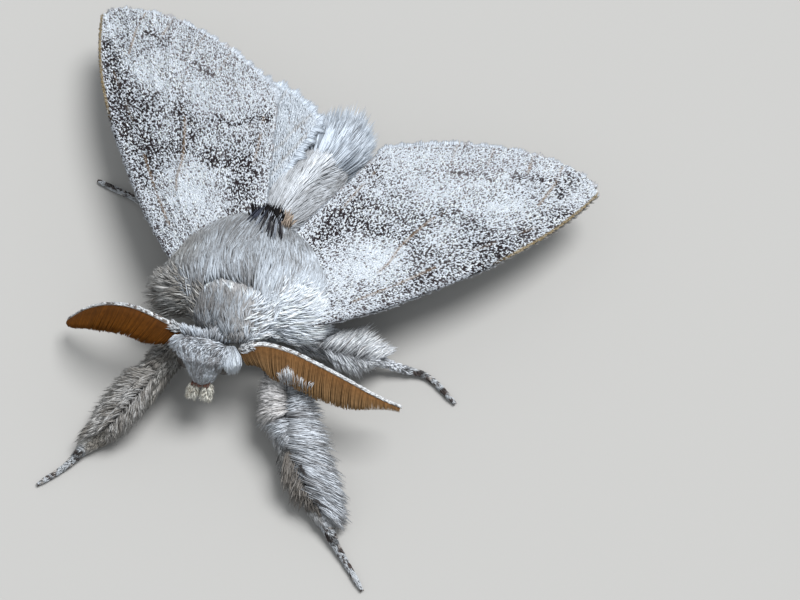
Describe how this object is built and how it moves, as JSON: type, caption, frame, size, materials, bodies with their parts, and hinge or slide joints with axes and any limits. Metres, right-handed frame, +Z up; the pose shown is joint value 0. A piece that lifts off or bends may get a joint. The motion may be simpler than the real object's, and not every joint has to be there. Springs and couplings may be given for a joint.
{
  "type": "pale tussock moth",
  "caption": "Furry pale tussock moth, male, standing with grey-white speckled wings half spread, orange-brown comb-like feelers and long-haired legs stretched forward.",
  "frame": {"origin": "on the floor under the middle of the moth's box", "axes": "+Z up, head towards -Y, the moth's own left side towards +X"},
  "size_m": [0.0368, 0.0332, 0.008],
  "materials": {
    "thorax_coat": "long soft grey-white hair with darker streaks",
    "abdomen_coat": "silky pale grey hair lying back",
    "tail_tuft": "loose white locks",
    "head_coat": "short dense white and grey tufts",
    "eye": "glossy black with fine facets",
    "palp": "cream hair",
    "antenna": "orange-brown comb teeth on a white-scaled stem",
    "forewing": "white scales peppered with dark brown ones",
    "hindwing": "plain whitish scales with a soft fringe",
    "leg_coat": "long grey hair, tarsi banded white and dark brown"
  },
  "bodies": {
    "root": {"thorax": "thorax_coat", "collar": "thorax_coat", "abdomen": "abdomen_coat", "tail_tuft": "tail_tuft", "head": "head_coat", "eye_left": "eye", "eye_right": "eye", "palp_left": "palp", "palp_right": "palp", "antenna_left": "antenna", "antenna_right": "antenna", "forewing_left": "forewing", "forewing_right": "forewing", "hindwing_left": "hindwing", "hindwing_right": "hindwing", "foreleg_left": "leg_coat", "foreleg_right": "leg_coat", "midleg_left": "leg_coat", "midleg_right": "leg_coat", "hindleg_left": "leg_coat", "hindleg_right": "leg_coat"}
  },
  "joints": []
}
